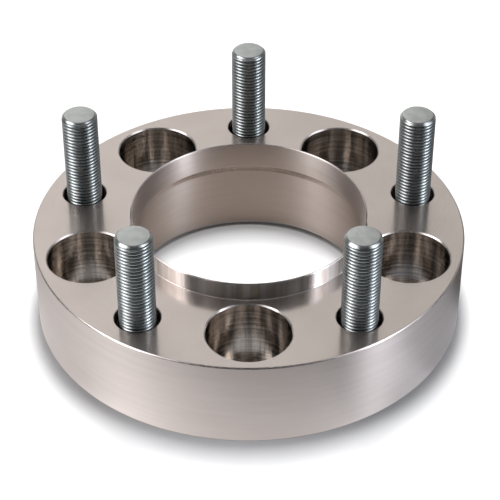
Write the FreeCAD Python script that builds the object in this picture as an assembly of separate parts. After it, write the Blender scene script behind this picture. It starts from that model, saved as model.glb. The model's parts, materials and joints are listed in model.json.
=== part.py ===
import FreeCAD, Part
import math
import os

# A hub-centric wheel spacer that changes the bolt circle. The ring is turned from one
# aluminium billet. It is held on the hub by nuts sunk in five deep pockets, and five steel
# studs pressed in from the hub face carry the wheel. All sizes are in millimetres. The hub
# face lies on the plane z = 0, and the wheel face with its centring lip looks up.

# Bolt circles, each with the same number of places, half a step apart
place_count = 5
hub_bolt_circle = 130.0
wheel_bolt_circle = 139.7
first_stud_angle = 90.0

# Ring
body_thickness = 36.0
rim_wall = 4.0
bore_wall = 1.5
wheel_edge_chamfer = 0.5
hub_edge_chamfer = 0.6
hub_lead_in = 2.5

# Centring lip and the throat that it leaves in the bore
lip_diameter = 93.1
lip_height = 7.5
lip_wall = 1.55
lip_edge_chamfer = 0.4
lip_mouth_flare = 0.7
lip_mouth_chamfer = 0.3
lip_root_fillet = 0.5
throat_depth = 3.0
shoulder_height = 4.3

# Nut pockets, which clamp the ring to the hub
pocket_diameter = 32.0
pocket_mouth_chamfer = 0.5
pocket_floor = 8.0
hub_stud_diameter = 14.0
hub_stud_clearance = 0.5
nut_seat_depth = 5.2
nut_seat_half_angle = 30.0
hub_hole_chamfer = 0.5

# Wheel studs
thread_diameter = 14.0
stud_protrusion = 38.0
tip_chamfer = 1.1
neck_diameter = 12.0
neck_length = 3.0
neck_taper_height = 1.0
knurl_diameter = 14.9
knurl_length = 10.0
knurl_tooth_count = 28
knurl_tooth_depth = 0.45
knurl_crest_width = 0.4
knurl_lead_in = 0.6
head_diameter = 22.5
head_thickness = 5.0
head_edge_chamfer = 1.0

# Stud bores
head_depth_below_face = 1.0
head_side_clearance = 0.75
stud_hole_clearance = 1.7
stud_hole_chamfer = 0.3

# Radii and levels that follow from the sizes above
hub_circle_radius = hub_bolt_circle / 2
wheel_circle_radius = wheel_bolt_circle / 2
pocket_radius = pocket_diameter / 2
body_radius = hub_circle_radius + pocket_radius + rim_wall
hub_bore_radius = hub_circle_radius - pocket_radius - bore_wall
lip_radius = lip_diameter / 2
throat_radius = lip_radius - lip_wall
mouth_radius = throat_radius + lip_mouth_flare
lip_top = body_thickness + lip_height
throat_bottom = body_thickness - throat_depth
shoulder_bottom = throat_bottom - shoulder_height

hub_hole_radius = hub_stud_diameter / 2 + hub_stud_clearance
nut_seat_radius = hub_hole_radius + nut_seat_depth * math.tan(math.radians(nut_seat_half_angle))
nut_seat_bottom = pocket_floor - nut_seat_depth

thread_radius = thread_diameter / 2
neck_radius = neck_diameter / 2
knurl_radius = knurl_diameter / 2
head_radius = head_diameter / 2
head_bottom = head_depth_below_face
head_top = head_bottom + head_thickness
knurl_top = head_top + knurl_length
neck_top = knurl_top + neck_length
stud_tip = body_thickness + stud_protrusion
stud_hole_radius = thread_radius + stud_hole_clearance
head_recess_radius = head_radius + head_side_clearance

place_step = 360.0 / place_count
cut_margin = 1.0
edge_match = 1e-6

z_axis = FreeCAD.Vector(0, 0, 1)
origin = FreeCAD.Vector(0, 0, 0)


def turned(profile):
    """Revolve a closed profile of (radius, height) points about the z axis."""
    points = [FreeCAD.Vector(radius, 0, height) for radius, height in profile]
    outline = Part.makePolygon(points + points[:1])
    return Part.Face(outline).revolve(origin, z_axis, 360)


def at_place(shape, circle_radius, angle):
    """Put a shape that stands on the z axis at one place of a bolt circle."""
    placed = shape.copy()
    placed.translate(FreeCAD.Vector(circle_radius, 0, 0))
    placed.rotate(origin, z_axis, angle)
    return placed


def ring_blank():
    """The turned ring with its bore, its centring lip and its broken edges."""
    blank = turned([
        (hub_bore_radius + hub_lead_in, 0),
        (body_radius - hub_edge_chamfer, 0),
        (body_radius, hub_edge_chamfer),
        (body_radius, body_thickness - wheel_edge_chamfer),
        (body_radius - wheel_edge_chamfer, body_thickness),
        (lip_radius, body_thickness),
        (lip_radius, lip_top - lip_edge_chamfer),
        (lip_radius - lip_edge_chamfer, lip_top),
        (mouth_radius + lip_mouth_chamfer, lip_top),
        (mouth_radius, lip_top - lip_mouth_chamfer),
        (throat_radius, throat_bottom),
        (hub_bore_radius, shoulder_bottom),
        (hub_bore_radius, hub_lead_in),
    ])
    root = [
        edge for edge in blank.Edges
        if abs(edge.BoundBox.ZMin - body_thickness) < edge_match
        and abs(edge.BoundBox.ZMax - body_thickness) < edge_match
        and abs(edge.BoundBox.XMax - lip_radius) < edge_match
    ]
    return blank.makeFillet(lip_root_fillet, root)


def pocket_cutter():
    """A nut pocket: chamfered mouth, straight wall, conical nut seat and hub stud hole."""
    mouth_radius_at_cut = pocket_radius + pocket_mouth_chamfer + cut_margin
    foot_radius_at_cut = hub_hole_radius + hub_hole_chamfer + cut_margin
    return turned([
        (0, -cut_margin),
        (foot_radius_at_cut, -cut_margin),
        (hub_hole_radius, hub_hole_chamfer),
        (hub_hole_radius, nut_seat_bottom),
        (nut_seat_radius, pocket_floor),
        (pocket_radius, pocket_floor),
        (pocket_radius, body_thickness - pocket_mouth_chamfer),
        (mouth_radius_at_cut, body_thickness + cut_margin),
        (0, body_thickness + cut_margin),
    ])


def stud_bore_cutter():
    """A stud bore: head recess, press bore for the knurl and wide hole at the wheel face."""
    mouth_radius_at_cut = stud_hole_radius + stud_hole_chamfer + cut_margin
    return turned([
        (0, -cut_margin),
        (head_recess_radius, -cut_margin),
        (head_recess_radius, head_top),
        (knurl_radius, head_top),
        (knurl_radius, knurl_top),
        (stud_hole_radius, knurl_top),
        (stud_hole_radius, body_thickness - stud_hole_chamfer),
        (mouth_radius_at_cut, body_thickness + cut_margin),
        (0, body_thickness + cut_margin),
    ])


def spacer_body():
    """The finished ring. The pockets stand half a step away from the stud bores."""
    cutters = []
    for place in range(place_count):
        stud_angle = first_stud_angle + place * place_step
        pocket_angle = stud_angle + place_step / 2
        cutters.append(at_place(stud_bore_cutter(), wheel_circle_radius, stud_angle))
        cutters.append(at_place(pocket_cutter(), hub_circle_radius, pocket_angle))
    return ring_blank().cut(cutters).removeSplitter()


def knurl_groove():
    """One V between two teeth of the knurl, which stands on the x axis."""
    tooth_pitch = math.pi * knurl_diameter / knurl_tooth_count
    groove_width = tooth_pitch - knurl_crest_width
    half_width = groove_width / 2 * (knurl_tooth_depth + cut_margin) / knurl_tooth_depth
    root = FreeCAD.Vector(knurl_radius - knurl_tooth_depth, 0, head_top)
    left = FreeCAD.Vector(knurl_radius + cut_margin, -half_width, head_top)
    right = FreeCAD.Vector(knurl_radius + cut_margin, half_width, head_top)
    section = Part.Face(Part.makePolygon([root, left, right, root]))
    return section.extrude(z_axis * knurl_length)


def wheel_stud():
    """A press-in stud on the z axis: head, knurl, neck and threaded shank with its tip.

    The shank stands at the outside diameter of its thread."""
    stud = turned([
        (0, head_bottom),
        (head_radius - head_edge_chamfer, head_bottom),
        (head_radius, head_bottom + head_edge_chamfer),
        (head_radius, head_top),
        (knurl_radius, head_top),
        (knurl_radius, knurl_top - knurl_lead_in),
        (knurl_radius - knurl_lead_in, knurl_top),
        (neck_radius, knurl_top),
        (neck_radius, neck_top - neck_taper_height),
        (thread_radius, neck_top),
        (thread_radius, stud_tip - tip_chamfer),
        (thread_radius - tip_chamfer, stud_tip),
        (0, stud_tip),
    ])
    grooves = []
    for tooth in range(knurl_tooth_count):
        groove = knurl_groove()
        groove.rotate(origin, z_axis, tooth * 360.0 / knurl_tooth_count)
        grooves.append(groove)
    return stud.cut(grooves).removeSplitter()


os.makedirs("parts", exist_ok=True)
spacer_body().exportStep("parts/spacer_body.step")
for place in range(place_count):
    stud_angle = first_stud_angle + place * place_step
    stud = at_place(wheel_stud(), wheel_circle_radius, stud_angle)
    stud.exportStep(f"parts/wheel_stud_{place + 1}.step")
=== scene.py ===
import json
import math

import bpy
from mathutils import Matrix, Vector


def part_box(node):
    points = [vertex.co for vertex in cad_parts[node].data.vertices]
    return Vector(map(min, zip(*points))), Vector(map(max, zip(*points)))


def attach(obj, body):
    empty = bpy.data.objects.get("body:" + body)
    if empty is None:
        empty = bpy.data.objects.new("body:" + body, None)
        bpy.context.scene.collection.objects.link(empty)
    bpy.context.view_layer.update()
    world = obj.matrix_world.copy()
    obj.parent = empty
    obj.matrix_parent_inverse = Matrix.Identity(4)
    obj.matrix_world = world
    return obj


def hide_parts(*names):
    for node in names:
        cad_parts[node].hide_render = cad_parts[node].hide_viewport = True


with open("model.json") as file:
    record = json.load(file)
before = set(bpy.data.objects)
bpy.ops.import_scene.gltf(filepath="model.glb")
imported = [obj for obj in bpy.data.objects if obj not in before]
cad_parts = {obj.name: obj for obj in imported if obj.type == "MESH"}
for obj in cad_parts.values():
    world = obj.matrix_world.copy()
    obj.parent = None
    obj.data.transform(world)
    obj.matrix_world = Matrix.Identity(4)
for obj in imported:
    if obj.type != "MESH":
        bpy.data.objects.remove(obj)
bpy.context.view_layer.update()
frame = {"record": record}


# The ring. It is turned from one aluminium billet and left bare: a broad wheel face, a hub
# bore with a shoulder, and a thin lip that centres the wheel. A last light cut leaves a fine
# grain on the faces, and the walls keep the lathe's rings, which show as faint bands.
mm = 0.001
mounts = {mount["name"]: mount for mount in frame["record"]["mounts"]}
ring_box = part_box("spacer_body")
ring_radius = ring_box[1][0]
lip_top = ring_box[1][2]
wheel_face = mounts["wheel_face"]["pos_m"][2]
lip_radius = mounts["centring_lip"]["dims"]["r_mm"] * mm
hub_bore_radius = mounts["hub_bore"]["dims"]["r_mm"] * mm
throat_radius = 45.0 * mm
throat_bottom = wheel_face - 3.0 * mm
shoulder_bottom = throat_bottom - 4.3 * mm
lip_mouth_flare = 0.7 * mm
lip_mouth_chamfer = 0.3 * mm
lip_edge_chamfer = 0.4 * mm
lip_root_fillet = 0.5 * mm
hub_lead_in = 2.5 * mm
wheel_edge_chamfer = 0.5 * mm
hub_edge_chamfer = 0.6 * mm
edge_break = 0.1 * mm
edge_segments = 2
point_match = 0.001 * mm
ring_steps = 288
fillet_steps = 4
sharp_angle = math.radians(28)
level_normal = 0.999
steepest_flat = 0.3


def select_only(piece):
    """Select one piece and nothing else, ready for an operator."""
    bpy.ops.object.select_all(action="DESELECT")
    piece.select_set(True)
    bpy.context.view_layer.objects.active = piece


def turned(name, steps, section, hollow=False):
    """A body of revolution: a circle extruded from point to point of its half section."""
    bpy.ops.object.select_all(action="DESELECT")
    radius, height = section[0]
    fill = "NOTHING" if hollow else "NGON"
    bpy.ops.mesh.primitive_circle_add(
        vertices=steps, radius=radius, fill_type=fill, location=(0, 0, height))
    piece = bpy.context.object
    piece.name = name
    bpy.ops.object.transform_apply(location=True, rotation=True, scale=True)
    bpy.ops.object.mode_set(mode="EDIT")
    for next_radius, next_height in section[1:] + (section[:1] if hollow else []):
        bpy.ops.mesh.extrude_region_move(
            TRANSFORM_OT_translate={"value": (0, 0, next_height - height)})
        bpy.ops.transform.resize(
            value=(next_radius / radius, next_radius / radius, 1),
            center_override=(0, 0, next_height))
        radius, height = next_radius, next_height
    bpy.ops.mesh.select_all(action="SELECT")
    bpy.ops.mesh.remove_doubles(threshold=point_match)
    bpy.ops.mesh.normals_make_consistent(inside=False)
    bpy.ops.object.mode_set(mode="OBJECT")
    return piece


def break_edges(piece, width):
    """Take the sharpness off every edge of a turned piece."""
    bpy.ops.object.mode_set(mode="EDIT")
    bpy.ops.mesh.select_all(action="DESELECT")
    bpy.ops.mesh.select_mode(type="EDGE")
    bpy.ops.mesh.edges_select_sharp(sharpness=sharp_angle)
    bpy.ops.mesh.bevel(offset=width, segments=edge_segments, affect="EDGES")
    bpy.ops.mesh.select_mode(type="VERT")
    bpy.ops.object.mode_set(mode="OBJECT")


def dress(piece, flats, walls):
    """Give a turned piece one finish on its flats and chamfers and another on its walls."""
    piece.data.materials.append(flats)
    piece.data.materials.append(walls)
    for face in piece.data.polygons:
        face.material_index = 1 if abs(face.normal.z) < steepest_flat else 0


class Shade:
    """An output of a node. Arithmetic on it adds Math nodes."""

    def __init__(self, tree, socket=None):
        self.tree = tree
        self.socket = socket

    def node(self, kind, settings=None, inputs=None, output=0):
        """Add a node: first its settings, then the values or links of its sockets."""
        made = self.tree.nodes.new(kind)
        for name, value in (settings or {}).items():
            if name == "stops":
                stops = made.color_ramp.elements
                for position, level in value[1:-1]:
                    stops.new(position)
                for stop, (position, level) in zip(stops, value):
                    stop.position = position
                    stop.color = (level, level, level, 1)
            else:
                setattr(made, name, value)
        for name, value in (inputs or {}).items():
            if isinstance(value, Shade):
                self.tree.links.new(value.socket, made.inputs[name])
            else:
                made.inputs[name].default_value = value
        return Shade(self.tree, made.outputs[output] if made.outputs else None)

    def math(self, operation, *operands):
        """A Math node by its operation. With no operands, it works on this output."""
        inputs = dict(enumerate(operands or (self,)))
        return self.node("ShaderNodeMath", {"operation": operation}, inputs)

    def __add__(self, other):
        return self.math("ADD", self, other)

    def __radd__(self, other):
        return self.math("ADD", other, self)

    def __sub__(self, other):
        return self.math("SUBTRACT", self, other)

    def __rsub__(self, other):
        return self.math("SUBTRACT", other, self)

    def __mul__(self, other):
        return self.math("MULTIPLY", self, other)

    def __rmul__(self, other):
        return self.math("MULTIPLY", other, self)

    def __truediv__(self, other):
        return self.math("DIVIDE", self, other)

    def __rtruediv__(self, other):
        return self.math("DIVIDE", other, self)

    def step(self, start, end):
        """0 below start, 1 above end, and a smooth rise between them."""
        return self.node(
            "ShaderNodeMapRange",
            {"interpolation_type": "SMOOTHSTEP"},
            {"Value": self, "From Min": start, "From Max": end})

    def span(self, start, full, last, end):
        """0 up to start, 1 from full to last, and 0 again past end."""
        return self.step(start, full) * (1 - self.step(last, end))

    def blend(self, low, high):
        """A number that goes from low to high as this output goes from 0 to 1."""
        return (1 - self) * low + self * high

    def noise(self, place, density=1.0, detail=2.0, roughness=0.5):
        """Fractal noise about 0.5, with so many spots to each unit of a place's vector."""
        return self.node(
            "ShaderNodeTexNoise",
            {"noise_dimensions": "3D"},
            {"Vector": place, "Scale": density, "Detail": detail, "Roughness": roughness})

    def place(self):
        """The place on the part, in metres, as a vector."""
        return self.node("ShaderNodeTexCoord", output="Object")

    def vector(self, x, y, z):
        """A vector of three numbers."""
        return self.node("ShaderNodeCombineXYZ", inputs={"X": x, "Y": y, "Z": z})

    def numbers(self):
        """The three numbers of a vector."""
        parts = self.node("ShaderNodeSeparateXYZ", inputs={"Vector": self})
        return [Shade(self.tree, socket) for socket in parts.socket.node.outputs]

    def tint(self, factor, low, high):
        """A colour between two, each of them three numbers or an output, by a factor."""
        low, high = (
            colour if isinstance(colour, Shade) else (*colour, 1) for colour in (low, high))
        return self.node(
            "ShaderNodeMix",
            {"data_type": "RGBA"},
            {"Factor": factor, "A": low, "B": high},
            output="Result")


def from_axis(x, y):
    """How far a place is from the axis that x and y are measured from."""
    return (x * x + y * y).math("SQRT")


def new_material(name):
    """A material, and the wrapper that adds nodes to it."""
    material = bpy.data.materials.new(name)
    material.use_nodes = True
    return material, Shade(material.node_tree)


def metal(material, base, roughness, bump, bump_depth, brushed=0.0):
    """A bare metal finish. Where it is brushed, its mirror images are drawn out upwards."""
    tree = material.node_tree
    shader = tree.nodes["Principled BSDF"]
    normal = base.node(
        "ShaderNodeBump", inputs={"Height": bump, "Distance": bump_depth, "Strength": 1.0})
    tree.links.new(base.socket, shader.inputs["Base Color"])
    tree.links.new(roughness.socket, shader.inputs["Roughness"])
    tree.links.new(normal.socket, shader.inputs["Normal"])
    shader.inputs["Metallic"].default_value = 1.0
    shader.inputs["Anisotropic"].default_value = brushed
    shader.inputs["Anisotropic Rotation"].default_value = across_the_rings


across_the_rings = 0.25

# A pattern's density, also across, along, round or up it, is in spots to the metre.
aluminium_light = (0.660, 0.596, 0.561)
aluminium_deep = (0.610, 0.546, 0.511)
face_cloud_density = 38.0
ring_density = 900.0
haze_density = 5000.0
grain_across = 5000.0
grain_along = 150.0
grain_depth = 0.016 * mm
cut_roughness = 0.10
haze_roughness = 0.38
faced_aluminium, shade = new_material("faced_aluminium")
place = shade.place()
x, y, z = place.numbers()
section = shade.vector(from_axis(x, y), z, 0.0)
along_grain = shade.vector(x * grain_along, y * grain_across, z * grain_along)
cloud = shade.noise(place, face_cloud_density, detail=3.0)
rings = shade.noise(section, ring_density, detail=4.0, roughness=0.7)
grain = shade.noise(along_grain, detail=1.0)
haze = shade.noise(place, haze_density, detail=1.0).step(0.51, 0.58)
faced_mix = (cloud * 0.75 + rings * 0.25).step(0.3, 0.7)
metal(
    faced_aluminium,
    base=shade.tint(faced_mix, aluminium_deep, aluminium_light),
    roughness=cut_roughness + cloud * 0.04 + rings * 0.03 + haze * haze_roughness,
    bump=grain,
    bump_depth=grain_depth)

# The outer wall is cut a little coarser than the bore, and the lip is the smoothest, with
# brighter and darker streaks up its wall, which are painted reflections.
lip_reflection_light = (0.740, 0.710, 0.685)
lip_reflection_deep = (0.520, 0.470, 0.430)
wall_cloud_density = 30.0
bands_round = 25.0
bands_up = 500.0
lip_streaks_round = 260.0
lip_streaks_up = 8.0
turned_roughness = 0.40
band_roughness = 0.16
bore_polish = 0.03
lip_polish = 0.14
ring_depth = 0.002 * mm
walled_aluminium, shade = new_material("walled_aluminium")
place = shade.place()
x, y, z = place.numbers()
radius = from_axis(x, y)
section = shade.vector(radius, z, 0.0)
along_bands = shade.vector(x * bands_round, y * bands_round, z * bands_up)
up_the_lip = shade.vector(x * lip_streaks_round, y * lip_streaks_round, z * lip_streaks_up)
cloud = shade.noise(place, wall_cloud_density, detail=3.0)
rings = shade.noise(section, ring_density, detail=4.0, roughness=0.7)
bands = shade.noise(along_bands, detail=3.0, roughness=0.6)
streaks = shade.noise(up_the_lip, detail=3.0, roughness=0.6)
above_face = z.step(wheel_face, wheel_face + edge_break)
on_lip = above_face * radius.step(lip_radius - 2 * edge_break, lip_radius - edge_break)
in_bore = (1 - on_lip) * (1 - radius.step(hub_bore_radius, hub_bore_radius + mm))
turned_mix = (cloud * 0.3 + bands * 0.7).step(0.35, 0.65)
turned_tint = shade.tint(turned_mix, aluminium_deep, aluminium_light)
# Painted reflections: the lip's lighter and darker streaks stand in for what it mirrors.
lip_reflection_tint = shade.tint(streaks.step(0.38, 0.62), lip_reflection_deep, lip_reflection_light)
smoothness = in_bore * bore_polish + on_lip * lip_polish
metal(
    walled_aluminium,
    base=shade.tint(on_lip, turned_tint, lip_reflection_tint),
    roughness=turned_roughness + bands * band_roughness - smoothness,
    bump=rings,
    bump_depth=ring_depth,
    brushed=0.9)

fillet_centre = (lip_radius + lip_root_fillet, wheel_face + lip_root_fillet)
fillet_turn = [step * math.pi / 2 / fillet_steps for step in range(fillet_steps + 1)]
ring = turned("ring", ring_steps, [
    (hub_bore_radius + hub_lead_in, 0.0),
    (ring_radius - hub_edge_chamfer, 0.0),
    (ring_radius, hub_edge_chamfer),
    (ring_radius, wheel_face - wheel_edge_chamfer),
    (ring_radius - wheel_edge_chamfer, wheel_face),
    *((fillet_centre[0] - lip_root_fillet * math.sin(turn),
       fillet_centre[1] - lip_root_fillet * math.cos(turn)) for turn in fillet_turn),
    (lip_radius, lip_top - lip_edge_chamfer),
    (lip_radius - lip_edge_chamfer, lip_top),
    (throat_radius + lip_mouth_flare + lip_mouth_chamfer, lip_top),
    (throat_radius + lip_mouth_flare, lip_top - lip_mouth_chamfer),
    (throat_radius, throat_bottom),
    (hub_bore_radius, shoulder_bottom),
    (hub_bore_radius, hub_lead_in),
], hollow=True)
break_edges(ring, edge_break)
dress(ring, faced_aluminium, walled_aluminium)


# The nut pockets. Each is bored down from the wheel face to a conical seat, on which a nut
# clamps the ring to a stud of the hub. The boring tool leaves rings and upright streaks, and
# the lighter streaks are partly painted highlights.
place_count = mounts["wheel_studs"]["dims"]["count"]
place_step = 2 * math.pi / place_count
stud_angles = [math.pi / 2 + place * place_step for place in range(place_count)]
pocket_angles = [angle + place_step / 2 for angle in stud_angles]
pocket_circle = mounts["hub_stud_holes"]["dims"]["pcd_mm"] / 2 * mm
hub_hole_radius = mounts["hub_stud_holes"]["dims"]["hole_r_mm"] * mm
hub_hole_chamfer = 0.5 * mm
pocket_radius = 16.0 * mm
pocket_mouth_chamfer = 0.5 * mm
pocket_floor = 8.0 * mm
nut_seat_depth = 5.2 * mm
nut_seat_slope = math.tan(math.radians(30))
nut_seat_radius = hub_hole_radius + nut_seat_depth * nut_seat_slope
cut_margin = 1.0 * mm
hole_steps = 96


def copies_round(piece, circle_radius, angles):
    """Replace a piece on the axis by a copy of it at each angle of a bolt circle."""
    made = []
    for angle in angles:
        copy = piece.copy()
        copy.data = piece.data.copy()
        bpy.context.collection.objects.link(copy)
        copy.location = (circle_radius * math.cos(angle), circle_radius * math.sin(angle), 0)
        copy.rotation_euler = (0, 0, angle)
        select_only(copy)
        bpy.ops.object.transform_apply(location=True, rotation=True, scale=True)
        made.append(copy)
    bpy.data.objects.remove(piece)
    return made


def join(pieces):
    """Make several pieces one."""
    select_only(pieces[0])
    for piece in pieces:
        piece.select_set(True)
    bpy.ops.object.join()
    return pieces[0]


def combine(piece, other, operation):
    """Cut, join or intersect a piece with another, which is used up."""
    select_only(piece)
    change = piece.modifiers.new(operation, "BOOLEAN")
    change.operation = operation
    change.solver = "EXACT"
    change.material_mode = "TRANSFER"
    change.object = other
    bpy.ops.object.modifier_apply(modifier=change.name)
    bpy.data.objects.remove(other)


def from_nearest(x, y, circle_radius, first_angle):
    """The place beside the nearest axis of a bolt circle: outwards, sideways and away from it."""
    places = (y.math("ARCTAN2", y, x) - first_angle) / place_step + 0.5
    turn = (places - places.math("FLOOR") - 0.5) * place_step
    radius = from_axis(x, y)
    outwards = radius * turn.math("COSINE") - circle_radius
    sideways = radius * turn.math("SINE")
    return outwards, sideways, from_axis(outwards, sideways)


bored_streak_and_glint = (0.76, 0.705, 0.655)
bored_deep = (0.35, 0.322, 0.295)
bored_ring_density = 1100.0
streaks_round = 300.0
streaks_up = 14.0
bored_roughness = 0.09
bored_depth = 0.06 * mm
bored_aluminium, shade = new_material("bored_aluminium")
x, y, z = shade.place().numbers()
outwards, sideways, away = from_nearest(x, y, pocket_circle, pocket_angles[0])
section = shade.vector(away, z, 0.0)
# Painted highlights: the streaks are shifted so that light ones fall where the pockets' walls
# catch highlights.
up_the_wall = shade.vector(
    outwards * streaks_round + 5.0, sideways * streaks_round + 2.0, z * streaks_up)
rings = shade.noise(section, bored_ring_density, detail=3.0, roughness=0.7)
streaks = shade.noise(up_the_wall, detail=4.0, roughness=0.7)
bored_mix = (streaks * 0.65 + rings * 0.35).step(0.38, 0.62)
metal(
    bored_aluminium,
    base=shade.tint(bored_mix, bored_deep, bored_streak_and_glint),
    roughness=bored_roughness + rings.step(0.4, 0.6) * 0.10,
    bump=streaks + rings * 0.40,
    bump_depth=bored_depth,
    brushed=0.95)

pocket = turned("pocket", hole_steps, [
    (hub_hole_radius + hub_hole_chamfer + cut_margin, -cut_margin),
    (hub_hole_radius, hub_hole_chamfer),
    (hub_hole_radius, pocket_floor - nut_seat_depth),
    (nut_seat_radius, pocket_floor),
    (pocket_radius, pocket_floor),
    (pocket_radius, wheel_face - pocket_mouth_chamfer),
    (pocket_radius + pocket_mouth_chamfer + cut_margin, wheel_face + cut_margin),
])

# The tool's rings go on over the nut seat and the floor of the pocket.
dress(pocket, faced_aluminium, bored_aluminium)
for face in pocket.data.polygons:
    if face.center.z < pocket_floor + edge_break:
        face.material_index = 1
combine(ring, join(copies_round(pocket, pocket_circle, pocket_angles)), "DIFFERENCE")


# The stud bores. Each has a recess for the stud's head in the hub face, a press bore for
# its knurl, and a wider hole that leaves a dark gap round the stud at the wheel face.
stud_circle = mounts["wheel_studs"]["dims"]["pcd_mm"] / 2 * mm
thread_radius = mounts["wheel_studs"]["dims"]["stud_r_mm"] * mm
head_recess_radius = 12.0 * mm
head_top = 6.0 * mm
knurl_radius = 7.45 * mm
knurl_top = 16.0 * mm
stud_hole_radius = 8.7 * mm
stud_hole_chamfer = 0.3 * mm


def smooth(piece):
    """Shade a piece smooth, and keep its corners crisp."""
    select_only(piece)
    bpy.ops.object.shade_smooth_by_angle(angle=sharp_angle)


stud_bore = turned("stud_bore", hole_steps, [
    (head_recess_radius, -cut_margin),
    (head_recess_radius, head_top),
    (knurl_radius, head_top),
    (knurl_radius, knurl_top),
    (stud_hole_radius, knurl_top),
    (stud_hole_radius, wheel_face - stud_hole_chamfer),
    (stud_hole_radius + stud_hole_chamfer + cut_margin, wheel_face + cut_margin),
])
dress(stud_bore, faced_aluminium, faced_aluminium)
combine(ring, join(copies_round(stud_bore, stud_circle, stud_angles)), "DIFFERENCE")
smooth(ring)
for face in ring.data.polygons:
    face.use_smooth = abs(face.normal.z) < level_normal
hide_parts("spacer_body")
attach(ring, "root")


# The wheel studs. Each is cold forged from steel with a round head and a straight knurl
# that bites into its press bore. The shank's thread is rolled, and the whole stud is zinc
# plated, bright with a faint blue-green cast.
stud_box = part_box("wheel_stud_1")
stud_tip = stud_box[1][2]
head_bottom = stud_box[0][2]
head_radius = (stud_box[1][0] - stud_box[0][0]) / 2
head_edge_chamfer = 1.0 * mm
neck_radius = 6.0 * mm
neck_top = 19.0 * mm
neck_taper = 1.0 * mm
tip_chamfer = 1.1 * mm
tip_round = 0.25 * mm
knurl_lead_in = 0.6 * mm
knurl_tooth_count = 28
knurl_tooth_depth = 0.45 * mm
steps_per_tooth = 4
thread_pitch = 1.5 * mm
flank_slope = math.tan(math.radians(30))
flank_depth = thread_pitch / 2 / flank_slope
ridge_round = 0.45 * mm
groove_round = 0.15 * mm
ridge_segments = 6
groove_segments = 3
thread_middle = thread_radius + ridge_round - flank_depth / 2
thread_steps = 48
thread_foot = neck_top - 0.4 * neck_taper
thread_match = 0.01 * mm
overrun = 0.3 * mm

# The roots of the thread are painted darker, as painted shade. The stud is coloured a little
# darker below its tip chamfer, and the end of the stud is duller.
zinc_light = (0.55, 0.57, 0.56)
zinc_deep = (0.36, 0.382, 0.378)
zinc_root_shade = (0.20, 0.222, 0.222)
plating_cloud_density = 300.0
plating_grain_density = 2600.0
plated_roughness = 0.21
end_roughness = 0.14
end_skin = 0.05 * mm
plating_depth = 0.001 * mm
root_depth = 0.60 * mm
crest_depth = 0.14 * mm
plated_steel, shade = new_material("plated_steel")
place = shade.place()
x, y, z = place.numbers()
outwards, sideways, away = from_nearest(x, y, stud_circle, stud_angles[0])
cloud = shade.noise(place, plating_cloud_density, detail=3.0)
grain = shade.noise(place, plating_grain_density)
on_end = z.step(stud_tip - end_skin, stud_tip - 0.4 * end_skin)
on_chamfer = z.step(stud_tip - tip_chamfer - edge_break, stud_tip - tip_chamfer)
# Painted shade: the roots of the thread are coloured darker, where shade falls between the
# ridges.
root_shade = 1 - away.step(thread_radius - root_depth, thread_radius - crest_depth)
zinc = shade.tint(cloud.step(0.3, 0.7) * 0.5 + on_chamfer * 0.5, zinc_deep, zinc_light)
metal(
    plated_steel,
    base=shade.tint(root_shade * (1 - on_chamfer), zinc, zinc_root_shade),
    roughness=plated_roughness + cloud * 0.05 + on_end * end_roughness,
    bump=grain,
    bump_depth=plating_depth)

stud = turned("stud", knurl_tooth_count * steps_per_tooth, [
    (head_radius - head_edge_chamfer, head_bottom),
    (head_radius, head_bottom + head_edge_chamfer),
    (head_radius, head_top),
    (knurl_radius, head_top),
    (knurl_radius, knurl_top - knurl_lead_in),
    (knurl_radius - knurl_lead_in, knurl_top),
    (neck_radius, knurl_top),
    (neck_radius, neck_top + overrun),
])

# Round the knurl, every fourth line of points goes in to a groove's root, and those beside
# it go a third of the way.
tooth_angle = 2 * math.pi / knurl_tooth_count
beside_root = 0.31
bpy.ops.object.mode_set(mode="EDIT")
for offset, share in ((0, 1.0), (1, beside_root), (steps_per_tooth - 1, beside_root)):
    bpy.ops.mesh.select_all(action="DESELECT")
    bpy.ops.object.mode_set(mode="OBJECT")
    for vertex in stud.data.vertices:
        distance = math.hypot(vertex.co.x, vertex.co.y)
        line = math.atan2(vertex.co.y, vertex.co.x) / tooth_angle * steps_per_tooth
        on_knurl = abs(distance - knurl_radius) < edge_break
        vertex.select = on_knurl and round(line) % steps_per_tooth == offset
    bpy.ops.object.mode_set(mode="EDIT")
    shrink = 1 - share * knurl_tooth_depth / knurl_radius
    bpy.ops.transform.resize(value=(shrink, shrink, 1), center_override=(0, 0, 0))
bpy.ops.object.mode_set(mode="OBJECT")

# One pitch of the thread is drawn as a line over a ridge and through a groove, from the
# middle of one flank to the middle of the next. Its corners are rounded, and the line is
# screwed up the shank.
bpy.ops.object.select_all(action="DESELECT")
bpy.ops.mesh.primitive_plane_add(
    size=mm, location=(thread_middle, 0, neck_top - 2 * thread_pitch))
thread = bpy.context.object
thread.name = "thread"
bpy.ops.object.transform_apply(location=True, rotation=True, scale=True)
bpy.ops.object.mode_set(mode="EDIT")
bpy.ops.mesh.merge(type="CENTER")
for outward, upward in (
    (flank_depth / 2, thread_pitch / 4),
    (-flank_depth, thread_pitch / 2),
    (flank_depth / 2, thread_pitch / 4),
):
    bpy.ops.mesh.extrude_region_move(TRANSFORM_OT_translate={"value": (outward, 0, upward)})
for corner_radius, rounding, segments in (
    (thread_middle + flank_depth / 2, ridge_round, ridge_segments),
    (thread_middle - flank_depth / 2, groove_round, groove_segments),
):
    bpy.ops.mesh.select_all(action="DESELECT")
    bpy.ops.object.mode_set(mode="OBJECT")
    for vertex in thread.data.vertices:
        vertex.select = abs(vertex.co.x - corner_radius) < thread_match
    bpy.ops.object.mode_set(mode="EDIT")
    bpy.ops.mesh.bevel(offset=rounding / flank_slope, segments=segments, affect="VERTICES")
bpy.ops.object.mode_set(mode="OBJECT")
turns = math.ceil((stud_tip - neck_top) / thread_pitch) + 4
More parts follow.
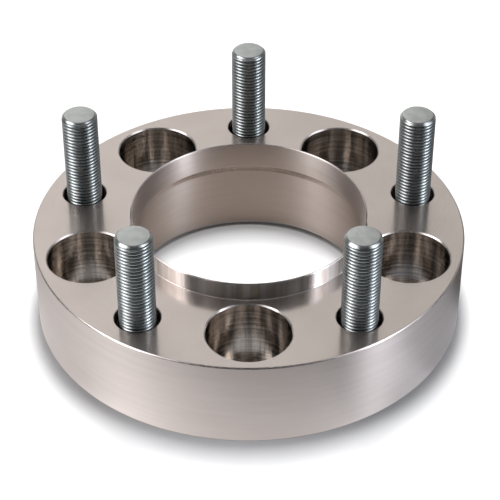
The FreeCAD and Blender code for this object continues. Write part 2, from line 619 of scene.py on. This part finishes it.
screw = thread.modifiers.new("screw", "SCREW")
screw.axis = "Z"
screw.angle = 2 * math.pi
screw.screw_offset = thread_pitch
screw.iterations = turns
screw.steps = thread_steps
screw.render_steps = thread_steps
screw.use_merge_vertices = True
bpy.ops.object.modifier_apply(modifier=screw.name)
bpy.ops.object.mode_set(mode="EDIT")
bpy.ops.mesh.select_all(action="SELECT")
bpy.ops.mesh.remove_doubles(threshold=thread_match)
for level, clear_above in ((thread_foot, False), (stud_tip + overrun, True)):
    bpy.ops.mesh.bisect(
        plane_co=(0, 0, level), plane_no=(0, 0, 1), use_fill=True,
        clear_inner=not clear_above, clear_outer=clear_above, threshold=point_match)
    bpy.ops.mesh.select_all(action="SELECT")
bpy.ops.mesh.normals_make_consistent(inside=False)
bpy.ops.object.mode_set(mode="OBJECT")

shank = turned("shank", hole_steps, [
    (neck_radius - neck_taper, neck_top - 2 * neck_taper),
    (thread_radius + overrun, neck_top + overrun),
    (thread_radius + overrun, stud_tip - tip_chamfer - overrun),
    (thread_radius - tip_chamfer, stud_tip),
])
break_edges(shank, tip_round)
combine(thread, shank, "INTERSECT")
combine(stud, thread, "UNION")
bpy.ops.object.mode_set(mode="EDIT")
bpy.ops.mesh.select_all(action="SELECT")
bpy.ops.mesh.remove_doubles(threshold=point_match)
bpy.ops.mesh.dissolve_degenerate(threshold=point_match)
bpy.ops.object.mode_set(mode="OBJECT")
stud.data.materials.clear()
stud.data.materials.append(plated_steel)
smooth(stud)
for number, piece in enumerate(copies_round(stud, stud_circle, stud_angles), start=1):
    piece.name = f"threaded_stud_{number}"
    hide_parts(f"wheel_stud_{number}")
    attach(piece, "root")


# The floor. A plain white sheet that keeps the shadow where the ring stands on it. What
# the metal mirrors of it is a painted glow, brighter or darker from one bearing to the
# next, with painted shadow under the ring and at the foot of the bore, and a tan painted
# reflection in the bore. The camera alone sees a painted pool of light in the bore.
floor_size = 6.0
floor_drop = 0.02 * mm
floor_colour = (0.50, 0.50, 0.50, 1)
mirrored_white = (1.0, 1.0, 1.02)
mirrored_blue = (0.93, 0.98, 1.08)
painted_tan_reflection = (1.0, 0.865, 0.765)
painted_bore_glow = 0.64
painted_rim_shade_share = 0.25
painted_shadow_under_ring = 0.35
painted_fall_far_off = 0.7
painted_pool_light = 0.20
rim_shade_start = 38 * mm
near_reach = 30 * mm
far_reach = 120 * mm
to_degrees = 180 / math.pi


def level_round(bearing, levels):
    """A level up to 2 that goes straight from one bearing in degrees to the next."""
    stops = [((stop + 180) / 360, level / 2) for stop, level in levels]
    share = (bearing + 180) / 360
    return bearing.node("ShaderNodeValToRGB", {"stops": stops}, {"Fac": share}) * 2


bpy.ops.object.select_all(action="DESELECT")
bpy.ops.mesh.primitive_plane_add(size=floor_size, location=(0, 0, -floor_drop))
floor = bpy.context.object
floor.name = "floor"
bpy.ops.object.transform_apply(location=True, rotation=True, scale=True)

paper, shade = new_material("paper")
paper.node_tree.nodes.clear()
x, y = shade.place().numbers()[:2]
radius = from_axis(x, y)
bearing = x.math("ARCTAN2", x, 0 - y) * to_degrees
# Painted light: the glow that the metal mirrors rises and falls by bearing, as a sheet's does
# between lamps.
painted_glow_round = level_round(bearing, (
    (-180, 0.50), (-130, 0.80), (-94, 1.05), (-83, 1.32), (-60, 1.10), (-52, 1.04),
    (-36, 1.46), (-24, 1.54), (0, 1.28), (24, 1.12), (30, 0.78), (42, 0.58),
    (54, 0.96), (60, 0.58), (72, 0.63), (83, 0.82), (94, 0.00), (130, 0.10),
    (180, 0.50)))
over_bore = 1 - radius.step(hub_bore_radius, hub_bore_radius + mm)
# Painted shadow and shade: the mirrored glow is dimmed under the ring, at the foot of the bore's
# wall and far off in front.
under_ring = (1 - over_bore) * (1 - radius.step(ring_radius - mm, ring_radius))
far_off = radius.step(ring_radius + near_reach, ring_radius + far_reach)
far_in_front = far_off * (1 - bearing.math("ABSOLUTE").step(38, 66))
outside = (painted_glow_round - far_in_front * painted_fall_far_off) * under_ring.blend(1.0, painted_shadow_under_ring)
inside = radius.step(rim_shade_start, throat_radius)
inside = inside.blend(painted_bore_glow, painted_bore_glow * painted_rim_shade_share)
outside_tint = shade.tint(bearing.step(12, 62), mirrored_white, mirrored_blue)
# Painted reflection: over the bore the glow is tan, like light thrown back by the bore's warm
# walls.
mirror_image = shade.node("ShaderNodeEmission", inputs={
    "Color": shade.tint(over_bore, outside_tint, painted_tan_reflection),
    "Strength": over_bore.blend(outside, inside)})
glossy = shade.node("ShaderNodeLightPath", output="Is Glossy Ray")
through = shade.node("ShaderNodeLightPath", output="Is Transmission Ray")
seen = shade.node("ShaderNodeLightPath", output="Is Camera Ray")
matt = shade.node("ShaderNodeBsdfDiffuse", inputs={"Color": floor_colour})
# Painted pool of light: inside the bore the floor glows for the camera alone.
pool = shade.node("ShaderNodeEmission", inputs={"Strength": over_bore * seen * painted_pool_light})
lit = shade.node("ShaderNodeAddShader", inputs={0: matt, 1: pool})
surface = shade.node("ShaderNodeMixShader", inputs={
    0: glossy.math("MAXIMUM", glossy, through), 1: lit, 2: mirror_image})
shade.node("ShaderNodeOutputMaterial", inputs={"Surface": surface})
floor.data.materials.append(paper)


# The lamp. A long soft box hangs above and a little behind the ring, so that its shadow
# falls just in front. It lights the floor, and the metal doesn't mirror it.
lamp_lean = math.radians(10.5)
lamp_distance = 1.5
lamp_power = 41.0
lamp_width = 0.26
lamp_length = 0.58
lamp_data = bpy.data.lights.new("lamp", "AREA")
lamp_data.shape = "RECTANGLE"
lamp_data.size = lamp_width
lamp_data.size_y = lamp_length
lamp_data.energy = lamp_power
lamp = bpy.data.objects.new("lamp", lamp_data)
bpy.context.collection.objects.link(lamp)
lamp.location = (0, lamp_distance * math.sin(lamp_lean), lamp_distance * math.cos(lamp_lean))
lamp.rotation_euler = (-lamp_lean, 0, 0)
lamp.visible_glossy = False
lamp.visible_camera = False


# The room. Its walls, with a soft box and a bright strip on each side, light the metal, and
# the camera sees plain white instead. Bearings are degrees from the front, where the camera
# stands, and heights are degrees above the horizon. A blend by right starts on the left.
gap_light = 0.03
side_light = 0.15
foot_light = 0.9
back_light_left = 1.06
back_light_right = 0.62
ceiling_light = 0.06
zenith_light = 0.25
room_white = (1.0, 1.0, 1.03)
room_blue = (0.93, 0.98, 1.08)
room_cream = (1.0, 0.985, 0.965)
room = bpy.data.worlds.new("room")
bpy.context.scene.world = room
room.use_nodes = True
room.node_tree.nodes.clear()
shade = Shade(room.node_tree)
x, y, z = shade.node("ShaderNodeTexCoord", output="Generated").numbers()
height = z.math("ARCSINE") * to_degrees
bearing = x.math("ARCTAN2", x, 0 - y) * to_degrees
off_front = bearing.math("ABSOLUTE")
right = bearing.step(-25, 25)
left = 1 - right

# The walls are dark in front and grey at the sides, with a pale foot, and pale behind.
side_wall = off_front.step(18, 50).blend(gap_light, side_light)
foot = (1 - height.step(4, 20)) * right.blend(0.35, 0.50)
foot = foot * off_front.span(20, 60, right.blend(100, 140), right.blend(130, 165))
back_wall = x.step(-0.3, 0.3).blend(back_light_left, back_light_right)
back_wall = back_wall * x.math("ABSOLUTE").step(0.25, 0.60).blend(1.0, 0.5)
behind = off_front.step(112, right.blend(150, 160))
walls = behind.blend(foot.blend(side_wall, foot_light), back_wall)
ceiling = height.step(behind.blend(46, 60), behind.blend(58, 74))
walls = ceiling.blend(walls, ceiling_light) + height.step(56, 76) * zenith_light

# There is a broad soft box on each side. Towards its top the right one leans forwards, and
# the left one grows wider.
leaning = height.step(30, 50)
opening = off_front + leaning * right.blend(16, 8)
closing = off_front - height.step(22, 40) * 18 * left + leaning * 16 * right
box_end = right.blend(72, 80)
box = opening.step(right.blend(46, 49), 80) * (
    1 - closing.step(box_end, box_end + right.blend(24, 30)))
box = box * height.span(right.blend(22, 18), right.blend(38, 32), 50, 62)
box_light = right.blend(3.6, 2.8)

# A narrow bright strip stands at the front edge of each box, lower down, and widens upwards.
upper = height.step(20, 36)
strip_start = 52 + right * height.step(8, 34) * 5 - left * upper * 6
strip_full = strip_start + 6 + upper * right.blend(16, 10)
strip_last = strip_full + 3 + left * upper * 12
strip = off_front.span(strip_start, strip_full, strip_last, strip_last + 8)
strip = strip * height.span(right.blend(16, 2), right.blend(28, 10), 31, 42)
strip_light = right.blend(6.0, upper.blend(9.0, 6.8))

light = box.blend(walls, box_light) + strip * strip_light
seen = shade.node("ShaderNodeLightPath", output="Is Camera Ray")
side_tint = shade.tint(x.step(0.2, 0.8), room_white, room_blue)
background = shade.node("ShaderNodeBackground", inputs={
    "Color": shade.tint(y.step(0.3, 0.7), side_tint, room_cream),
    "Strength": seen.blend(light, 1.0)})
shade.node("ShaderNodeOutputWorld", inputs={"Surface": background})


# The camera. It looks down on the wheel face, with one stud straight behind the bore, and
# is aimed a little below the middle of that face.
camera_tilt = math.radians(37.9)
camera_distance = 8 * ring_radius
camera_aim = 0.1163 * ring_radius
camera_lens = 123.8
camera_shift = 0.0027
sensor_width = 36.0
across = math.cos(camera_tilt)
down = math.sin(camera_tilt)
camera_data = bpy.data.cameras.new("camera")
camera_data.lens = camera_lens
camera_data.sensor_width = sensor_width
camera_data.shift_x = camera_shift
camera = bpy.data.objects.new("camera", camera_data)
bpy.context.collection.objects.link(camera)
camera.location = (
    0,
    -camera_distance * across - camera_aim * down,
    wheel_face + camera_distance * down - camera_aim * across)
camera.rotation_euler = (math.pi / 2 - camera_tilt, 0, 0)
bpy.context.scene.camera = camera
bpy.context.scene.view_settings.view_transform = "Standard"
